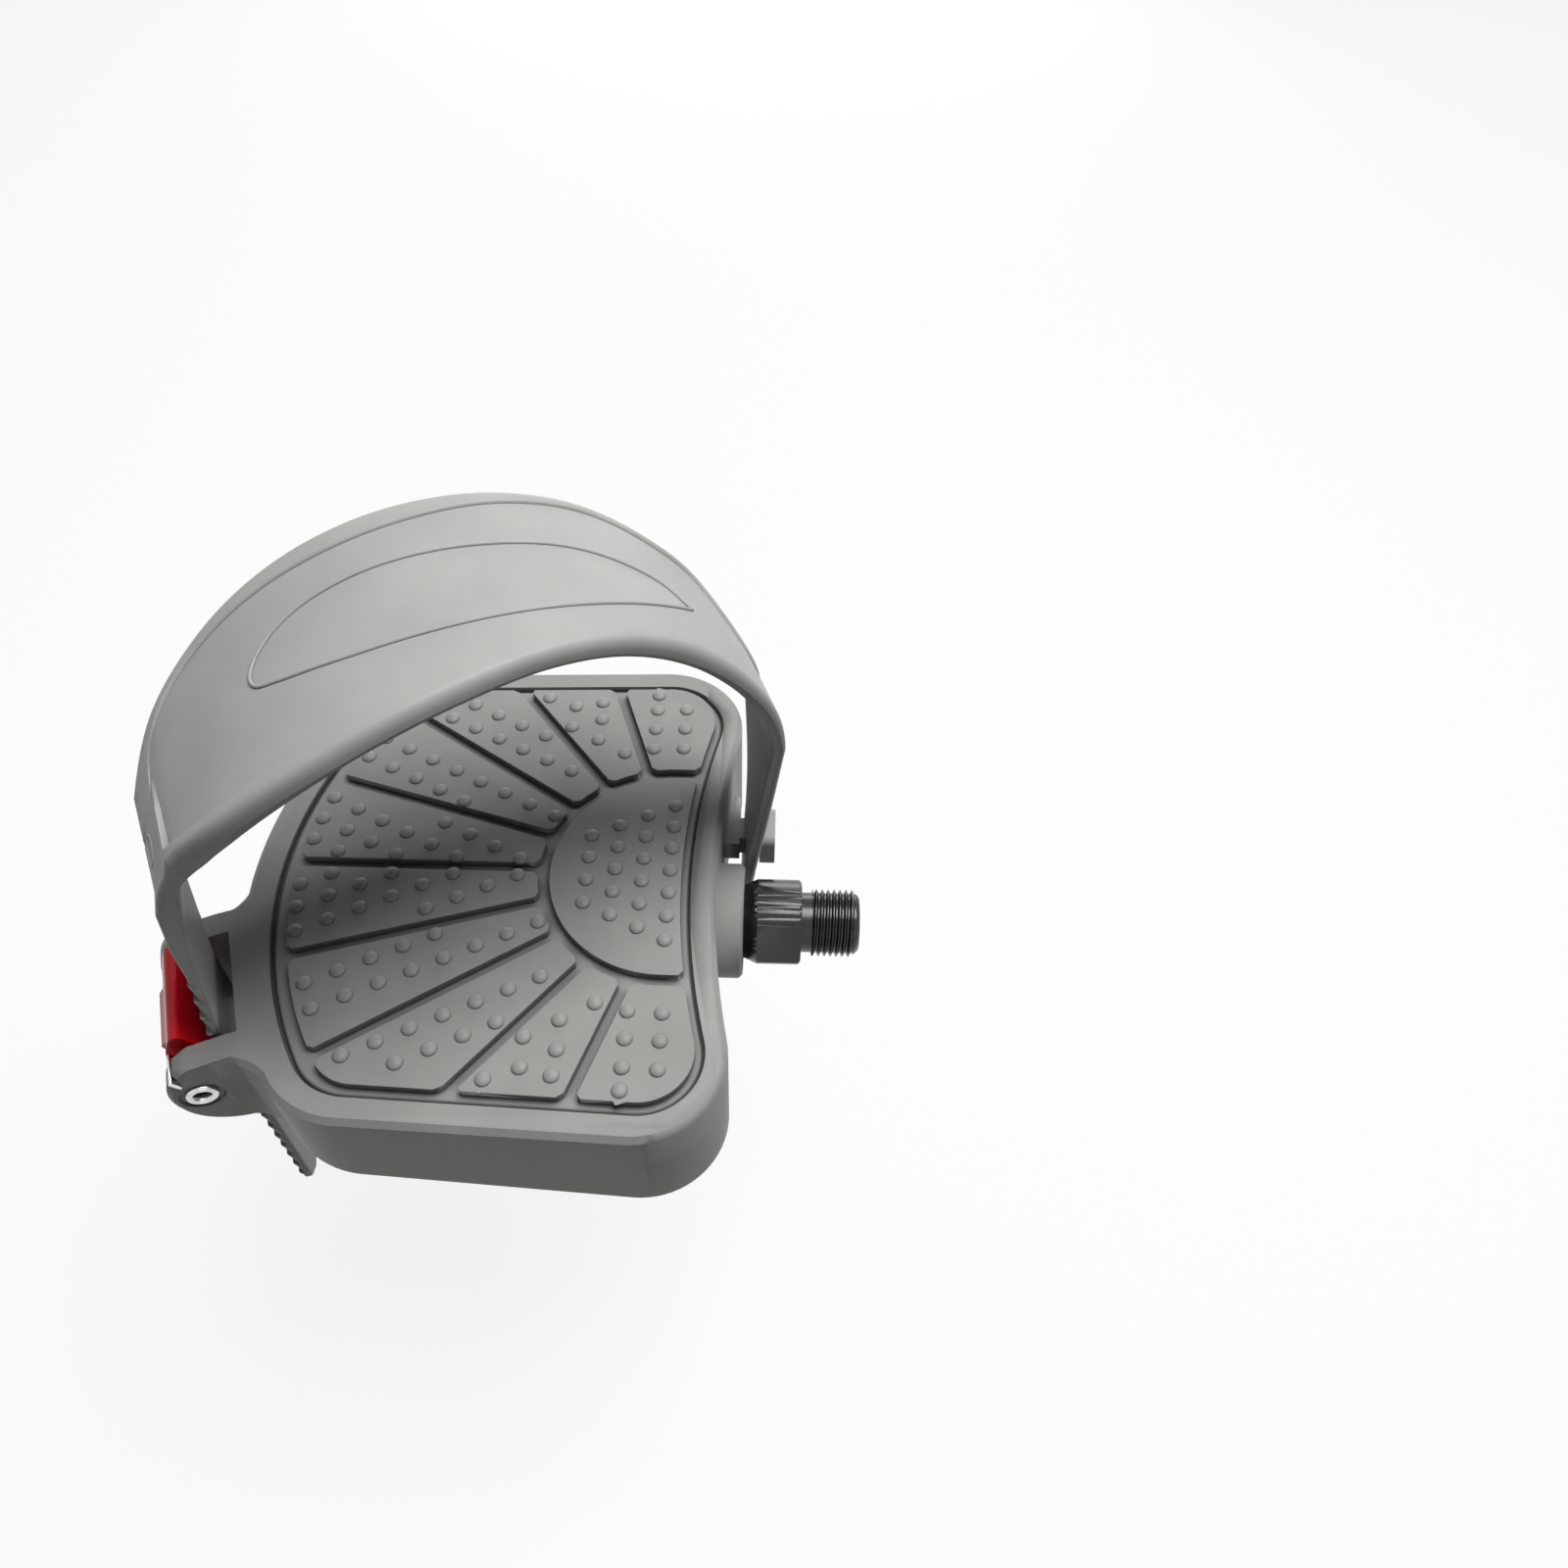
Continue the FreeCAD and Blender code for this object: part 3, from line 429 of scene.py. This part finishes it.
# arch angle in degrees, then the toe border's width in mm
toe_border_rows = [(0, 2.0), (40, 1.6), (60, 1.8), (76, 2.8), (92, 4.2), (108, 4.4), (125, 3.4), (140, 2.4),
                   (144, 2.5), (148, 3.4), (150, 4.4), (151.5, 7.0), (152.3, 10.4), (panel_end, 10.4)]


def eased(rows, place):
    """Values at a place along rows of (place, values), on a smooth curve through them."""
    i = max(k for k in range(len(rows) - 1) if rows[k][0] <= place)
    before, here, there, after = rows[max(i - 1, 0)], rows[i], rows[i + 1], rows[min(i + 2, len(rows) - 1)]
    span = there[0] - here[0]
    share = (place - here[0]) / span
    values = []
    for b, h, t, a in zip(before[1:], here[1:], there[1:], after[1:]):
        slope_in = (t - b) / (there[0] - before[0]) * span
        slope_out = (a - h) / (after[0] - here[0]) * span
        values.append(h + share * slope_in + share ** 2 * (3 * (t - h) - 2 * slope_in - slope_out)
                      + share ** 3 * (2 * (h - t) + slope_in + slope_out))
    return values


def ramp(place, start, end):
    """Share of the way from start to end, held at 0 before and 1 after."""
    return min(max((place - start) / (end - start), 0), 1)


def arch_frame(angle):
    """Heel corner, direction across, width and outward direction of the panel at an arch angle."""
    heel, toe, flare = [value * mm for value in eased(panel_rows, angle)]
    turn = radians(angle)
    bulge = leg_bulge * (1 - ramp(angle, 0, bulge_end)) ** 2
    reach = arch_centre - arch_half_span * cos(turn) - bulge
    height = arch_spring + arch_rise * sin(turn)
    out = (upwards * (arch_half_span * sin(turn)) - outwards * (arch_rise * cos(turn))).normalized()
    across = toewards * (toe - heel) + out * flare
    corner = fan + outwards * reach + upwards * height + toewards * heel
    return corner, across.normalized(), across.length, out


def strap_loop(frame_at, thickness, roll, roll_height, lip, field_heel, field_toe, slope,
               heel_rise, toe_rise):
    """Corners of one section: flat inside with a lip under the heel edge, the heel edge rolled over,
    and a field that lies below the toe border."""
    corner, across, width, out = frame_at
    r = min(edge_radius, edge_most * thickness)
    cut = edge_cut * r
    field = thickness - toe_rise
    band = field + heel_rise
    slope = min(slope, (field_toe - field_heel) / 3)
    section = [(r, -lip), (width / 2, 0), (width - r, 0), (width - cut, cut), (width, r),
               (width, thickness - r), (width - cut, thickness - cut), (width - r, thickness)]
    section += [(field_toe + slope, thickness), (field_toe, thickness - toe_rise / 2),
                (field_toe - slope / 3, field - toe_rise / 4), (field_toe - slope, field)]
    flat = field_toe - field_heel - 2 * slope
    section += [(field_heel + slope + flat * share, field) for share in (0.75, 0.5, 0.25)]
    section += [(field_heel + slope, field), (field_heel, field + heel_rise / 2), (field_heel - slope, band)]
    for turn in roll_turns:
        drop = 1 - cos(radians(turn))
        section.append((roll * (1 - sin(radians(turn))), band - roll_height * drop))
    inner = cut - lip
    section += [(heel_step, max(band - roll_height - heel_step, inner + r / 5)), (heel_step, inner)]
    return [corner + across * a + out * h for a, h in section]


def leg_loops():
    """Sections of the leg on the crank side, from its foot up to the arch."""
    corner, across, width, _ = arch_frame(0)
    climb = corner + across * width - leg_foot
    loops = []
    for i in range(leg_steps):
        share = i / leg_steps
        turn = buckle_turn * share ** leg_twist
        breadth = foot_width + (width - foot_width) * share
        heelwards = Vector((sin(turn), -cos(turn), 0))
        toe_corner = leg_foot + climb * share + Vector((leg_bow * sin(pi * share), 0, 0))
        frame_at = (toe_corner + heelwards * breadth, -heelwards, breadth, Vector((cos(turn), sin(turn), 0)))
        loops.append(strap_loop(frame_at, strap_thickness, edge_radius, edge_radius, 0, heel_band,
                                breadth - leg_border, border_slope, 0, border_rise))
    return loops


def panel_loops():
    """Sections of the arch; the field ends in a slanting edge before the tail."""
    loops = []
    for angle in panel_angles:
        frame_at = arch_frame(angle)
        width = frame_at[2]
        opening = ramp(angle, 0, roll_open) * (1 - ramp(angle, roll_closing, roll_closed))
        roll = edge_radius + (heel_roll - edge_radius) * opening
        roll_height = edge_radius + (heel_roll_height - edge_radius) * opening
        closing = ramp(angle, field_end, field_closed)
        field_toe = width - eased(toe_border_rows, angle)[0] * mm
        field_heel = heel_band + (field_toe - field_least - heel_band) * closing
        slope = border_slope + (end_slope - border_slope) * closing
        crease = ramp(angle, crease_start, field_end) * (1 - closing)
        rise = border_rise * (1 - border_loss * ramp(angle, border_falls, field_end))
        loops.append(strap_loop(frame_at, strap_thickness, roll, roll_height, heel_lip * opening, field_heel,
                                field_toe, slope, rise * closing + crease_rise * crease, rise))
    return loops


tail_heel, tail_width = -7.3 * mm, 19.0 * mm
tail_base, tail_tooth, tail_pitch = 1.2 * mm, 1.0 * mm, 5.0 * mm
tooth_foot, tooth_tip = 0.05 * mm, 0.3 * mm
tooth_flank, flank_height = 0.6, 0.4
tail_root_thickness, tail_taper = 4.2 * mm, 0.1
tail_end, tail_tip = -58.5 * mm, 2.0 * mm
tail_last_shares = (0.72, 0.84, 0.93, 0.98)
tail_seam = 0.4 * mm
tail_corners = [(86.9, 44.3), (90.5, 17.1), (91.9, -58.5)]


def tail_loops():
    """Sections of the tail: saw teeth on its outer face and a round end."""
    last = arch_frame(panel_end)[0]
    corners = [last] + [fan + outwards * reach * mm + upwards * height * mm + toewards * tail_heel
                        for reach, height in tail_corners]
    stations = []
    for start, end in zip(corners, corners[1:]):
        ahead = (end - start).normalized()
        out = toewards.cross(ahead)
        teeth = int((end - start).length / tail_pitch)
        pitch = (end - start).length / teeth
        for i in range(teeth):
            foot = start + ahead * (pitch * i)
            stations.append((foot + ahead * tooth_foot, out, tail_base))
            stations.append((foot + ahead * tooth_tip, out, tail_base + tail_tooth))
            stations.append((foot + ahead * pitch * tooth_flank, out, tail_base + flank_height * tail_tooth))
    for share in tail_last_shares:
        stations.append((foot + ahead * pitch * share, out, tail_base))
    loops = []
    radius = tail_width / 2
    # the first two stations lie too close to the panel's last section
    for point, out, thickness in stations[2:]:
        from_root = (last - point).length
        thickness = max(thickness, tail_root_thickness - tail_taper * from_root)
        below = min(point.z - tail_end - radius, 0)
        half = sqrt(max(radius ** 2 - below ** 2, tail_tip ** 2))
        frame_at = (point + toewards * (radius - half), toewards, 2 * half, out)
        loops.append(strap_loop(frame_at, thickness, edge_radius, edge_radius, 0, half - tail_seam,
                                half + tail_seam, border_slope, 0, 0))
    return loops


def foot_strap():
    """Bridges the sections from the foot to the tail's end and closes both ends."""
    strap = bmesh.new()
    rows = []
    for loop in leg_loops() + panel_loops() + tail_loops():
        verts = [strap.verts.new(point) for point in loop]
        rows.append([strap.edges.new(pair) for pair in zip(verts, verts[1:] + verts[:1])])
    for row, following in zip(rows, rows[1:]):
        bmesh.ops.bridge_loops(strap, edges=row + following)
    bmesh.ops.holes_fill(strap, edges=rows[0] + rows[-1])
    bmesh.ops.recalc_face_normals(strap, faces=strap.faces)
    return strap


# corners of the raised lines: arch angle in degrees and place across in mm
leaf_line = [(41, 16.0), (48, 21.0), (63.5, 25.2), (80, 26.2), (97, 25.9), (109.5, 24.0), (117, 21.2),
             (121.5, 17.5), (123.3, 13.8), (122.4, 11.0), (119, 9.7), (113, 8.5), (102.5, 7.4), (87, 7.9),
             (67.5, 10.2), (52, 13.2), (41, 16.0)]
leaf_radius = 0.4 * mm
oval_angle, oval_place = 157, 1.0
oval_half_angle, oval_half_width = 1.4, 2.9
oval_mark = [(oval_angle + oval_half_angle * sin(pi * i / 6), oval_place + oval_half_width * cos(pi * i / 6))
             for i in range(13)]
oval_radius, oval_sunk = 0.3 * mm, 0.1 * mm
points_per_corner = 8


def round_wire(name, points, radius, roundness, joined, body, material):
    """A round wire or line along a run of points, joined up or with closed ends."""
    curve = bpy.data.curves.new(name, "CURVE")
    curve.dimensions = "3D"
    curve.bevel_depth = radius
    curve.bevel_resolution = roundness
    curve.use_fill_caps = not joined
    run = curve.splines.new("POLY")
    run.points.add(len(points) - 1)
    run.use_cyclic_u = joined
    for place, point in zip(run.points, points):
        place.co = (*point, 1)
    made = bpy.data.objects.new(name, curve)
    bpy.context.scene.collection.objects.link(made)
    curve.materials.append(material)
    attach(made, body)
    return made


def line_route(corners, sunk):
    """Points on the panel's outer face along a smooth closed line through the corners."""
    rows = [(i, *corner) for i, corner in enumerate(corners)]
    route = []
    for i in range((len(corners) - 1) * points_per_corner):
        angle, place = eased(rows, i / points_per_corner)
        corner, across, _, out = arch_frame(angle)
        heel = eased(panel_rows, angle)[0]
        route.append(corner + across * (place - heel) * mm + out * (strap_thickness - sunk))
    return route


strap_grey = moulded_grey("strap_grey", strap_dark, strap_light, roughness=0.44, grain=2000)
# painted shade: the strap's colour is darkened in narrow gaps, most of all inside the buckle slot
painted_groove_shade(strap_grey, reach=4.0 * mm, darkest=0.25)
strap_piece = finished_piece("foot_strap", foot_strap(), "pedal", strap_grey,
                             smooth_under=50, level_flats=True)
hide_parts("strap")
round_wire("leaf_line", line_route(leaf_line, border_rise), leaf_radius, 2, True,
           "pedal", strap_grey)
round_wire("oval_mark", line_route(oval_mark, oval_sunk), oval_radius, 2, True,
           "pedal", strap_grey)

# Ratchet lever
# A glossy red thumb lever, moulded with its pawl and grip ridge. It swings on the rivet between the ears,
# and the spring presses its pawl on the strap's teeth.
red_dark, red_light = (0.60, 0.004, 0.012), (0.72, 0.008, 0.02)
red_shine = 0.3
lever_edge, lever_turn = 0.35 * mm, 30


def gloss_red():
    """Saturated red gloss plastic with faint flow lines and fine scuffs."""
    material, nodes, links, main = shader("gloss_red", roughness=0.25)
    main.inputs["Specular IOR Level"].default_value = red_shine
    flow = noise(nodes, links, scale=120, detail=3.0)
    scuffs = noise(nodes, links, scale=900, detail=2.0, stretch=(1, 1, 4))
    links.new(between(nodes, links, flow, red_dark, red_light), main.inputs["Base Color"])
    links.new(spread(nodes, links, scuffs, low=0.2, high=0.34), main.inputs["Roughness"])
    relief(nodes, links, main, scuffs, depth=0.02 * mm, strength=0.15)
    return material


lever = copy_of_solid("ratchet_lever")
round_edges(lever, lever_edge, lever_turn)
lever_piece = finished_piece("thumb_lever", lever, "lever", gloss_red(), level_flats=True)
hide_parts("ratchet_lever")

# Lever rivet
# A hollow steel rivet through both ears; each end is rolled over in a bright rounded rim that sits in a
# shallow recess.
pin_reach, pin_height = 97.1 * mm, 6.3 * mm
pin_middle = fan + outwards * pin_reach + upwards * pin_height
rivet_near, rivet_far = -12.4 * mm, 19.0 * mm
rivet_steps = 48
# place along the rivet from its end, and radius, in mm
rim_profile = [(2.0, 1.5), (-0.1, 1.5), (-0.5, 1.6), (-0.8, 1.85), (-0.9, 2.25), (-0.8, 2.65), (-0.5, 2.95),
               (-0.1, 3.05), (0.0, 3.0), (0.0, 2.0)]


def rolled_rivet():
    """The rivet's half section spun about its own axis."""
    rivet = bmesh.new()
    near = [(rivet_near + a * mm, r * mm) for a, r in rim_profile]
    far = [(rivet_far - a * mm, r * mm) for a, r in rim_profile]
    verts = [rivet.verts.new(pin_middle + toewards * a + upwards * r) for a, r in near + far[::-1]]
    edges = [rivet.edges.new(pair) for pair in zip(verts, verts[1:] + verts[:1])]
    bmesh.ops.spin(rivet, geom=verts + edges, cent=pin_middle, axis=toewards, angle=2 * pi,
                   steps=rivet_steps, use_merge=True)
    bmesh.ops.remove_doubles(rivet, verts=rivet.verts, dist=weld)
    bmesh.ops.recalc_face_normals(rivet, faces=rivet.faces)
    return rivet


bright_steel = stock_finish("bright_steel", (0.55, 0.55, 0.54), (0.72, 0.72, 0.7), 0.2, 1.0, 800)
rivet_piece = finished_piece("hollow_rivet", rolled_rivet(), "pedal", bright_steel,
                             smooth_under=50)
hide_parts("lever_pin")

# Lever spring
# A torsion spring of thin bright wire: three turns on the rivet inside the lever, and an end that comes out
# through a notch in the near ear and hooks over it.
wire_radius, coil_radius = 0.4 * mm, 2.55 * mm
coil_start, coil_pitch = -7.5 * mm, 0.95 * mm
coil_turns, turn_points = 3, 24
ear_middle = fan + outwards * ear_reach + upwards * ear_height
notch_turn, notch_seat = radians(36), 13.2 * mm
hook_in, hook_down, hook_along = 1.2 * mm, 2.0 * mm, -13.4 * mm


def spring_route():
    """Hooked end, run across the ear in its notch, and the turns about the rivet."""
    spoke = outwards * cos(notch_turn) + upwards * sin(notch_turn)
    seat = ear_middle + spoke * notch_seat
    hook = seat + toewards * hook_along
    route = [hook - outwards * hook_in - upwards * hook_down, hook, seat + toewards * coil_start]
    leg = seat - pin_middle
    lead = atan2(leg.dot(upwards), leg.dot(outwards))
    for i in range(coil_turns * turn_points + 1):
        turn = lead + 2 * pi * i / turn_points
        spoke = outwards * cos(turn) + upwards * sin(turn)
        along = coil_start + coil_pitch * i / turn_points
        route.append(pin_middle + spoke * coil_radius + toewards * along)
    return route


spring_bright = stock_finish("spring_bright", (0.6, 0.6, 0.6), (0.75, 0.75, 0.75), 0.18, 1.0, 900)
spring_piece = round_wire("torsion_spring", spring_route(), wire_radius, 3, False,
                          "pedal", spring_bright)
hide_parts("lever_spring")

# Floor, light and camera
# A plain white sweep, low enough for the platform and strap to turn over above it, three soft boxes, and a
# camera where the photograph was taken from.
floor_level = -Vector((cad_box[1].y, cad_box[1].z)).length
floor_half = 3.0
dull_dark, dull_light = (0.12, 0.12, 0.12), (0.13, 0.13, 0.13)
pale_dark, pale_light = (0.88, 0.88, 0.88), (0.9, 0.9, 0.9)
cloud_scale = 3
glow_share = 0.87
backdrop_light = 0.02
part_middle = Vector((-0.07, 0.0, 0.02))


def seen_rays(nodes, links):
    """One for the rays that see the background, straight or in a shiny or clear surface, else nought."""
    rays = nodes.new("ShaderNodeLightPath")
    shiny = nodes.new("ShaderNodeMath")
    shiny.operation = "MAXIMUM"
    links.new(rays.outputs["Is Camera Ray"], shiny.inputs[0])
    links.new(rays.outputs["Is Glossy Ray"], shiny.inputs[1])
    clear = nodes.new("ShaderNodeMath")
    clear.operation = "MAXIMUM"
    links.new(shiny.outputs["Value"], clear.inputs[0])
    links.new(rays.outputs["Is Transmission Ray"], clear.inputs[1])
    return clear.outputs["Value"]


def sweep_white():
    """White floor that shows as background and still takes the part's shadow."""
    material, nodes, links, main = shader("sweep_white", roughness=0.9)
    dull = between(nodes, links, noise(nodes, links, cloud_scale), dull_dark, dull_light)
    pale = between(nodes, links, noise(nodes, links, cloud_scale), pale_dark, pale_light)
    seen = seen_rays(nodes, links)
    paint = nodes.new("ShaderNodeMix")
    paint.data_type = "RGBA"
    links.new(seen, paint.inputs["Factor"])
    links.new(dull, paint.inputs[6])
    links.new(pale, paint.inputs[7])
    links.new(paint.outputs[2], main.inputs["Base Color"])
    glow = nodes.new("ShaderNodeEmission")
    share = nodes.new("ShaderNodeMath")
    share.operation = "MULTIPLY"
    share.inputs[1].default_value = glow_share
    mix = nodes.new("ShaderNodeMixShader")
    links.new(seen, share.inputs[0])
    links.new(share.outputs["Value"], mix.inputs["Fac"])
    links.new(main.outputs["BSDF"], mix.inputs[1])
    links.new(glow.outputs["Emission"], mix.inputs[2])
    links.new(mix.outputs["Shader"], nodes["Material Output"].inputs["Surface"])
    return material


floor_mesh = bmesh.new()
bmesh.ops.create_grid(floor_mesh, x_segments=2, y_segments=2, size=floor_half)
bmesh.ops.translate(floor_mesh, vec=(0, 0, floor_level), verts=floor_mesh.verts)
floor_data = bpy.data.meshes.new("floor")
floor_mesh.to_mesh(floor_data)
floor_mesh.free()
floor = bpy.data.objects.new("floor", floor_data)
floor.data.materials.append(sweep_white())
bpy.context.scene.collection.objects.link(floor)


def soft_box(name, place, size, power):
    """A rectangular soft box that faces the part."""
    lamp = bpy.data.lights.new(name, "AREA")
    lamp.shape = "RECTANGLE"
    lamp.size, lamp.size_y = size
    lamp.energy = power
    made = bpy.data.objects.new(name, lamp)
    made.location = place
    made.rotation_euler = (part_middle - Vector(place)).to_track_quat("-Z", "Y").to_euler()
    bpy.context.scene.collection.objects.link(made)


soft_box("key_box", place=(0.19, 0.12, 0.85), size=(0.55, 0.55), power=9.1)
soft_box("front_box", place=(0.30, -0.80, 0.30), size=(0.6, 0.4), power=0.2)
soft_box("back_box", place=(-0.05, 0.90, 0.12), size=(0.6, 0.35), power=1.8)

world = bpy.data.worlds.new("studio")
world.use_nodes = True
world_nodes, world_links = world.node_tree.nodes, world.node_tree.links
world_nodes["Background"].inputs["Color"].default_value = (1, 1, 1, 1)
backdrop = world_nodes.new("ShaderNodeMapRange")
backdrop.inputs["To Min"].default_value = backdrop_light
world_links.new(seen_rays(world_nodes, world_links), backdrop.inputs["Value"])
world_links.new(backdrop.outputs["Result"], world_nodes["Background"].inputs["Strength"])
bpy.context.scene.world = world
bpy.context.scene.view_settings.view_transform = "Standard"

camera_place = Vector((-0.01555, -0.1429, 0.2251))
camera_right = Vector((0.9996, 0.0112, 0.0276))
camera_up = Vector((-0.026, 0.7795, 0.6259))
camera_back = camera_right.cross(camera_up)
camera_axes = Matrix((camera_right, camera_up, camera_back)).transposed().to_4x4()
camera_data = bpy.data.cameras.new("camera")
camera_data.sensor_width = 36.0
camera_data.lens = 28.3
camera_data.clip_start = 0.01
camera = bpy.data.objects.new("camera", camera_data)
camera.matrix_world = Matrix.Translation(camera_place) @ camera_axes
bpy.context.scene.collection.objects.link(camera)
bpy.context.scene.camera = camera
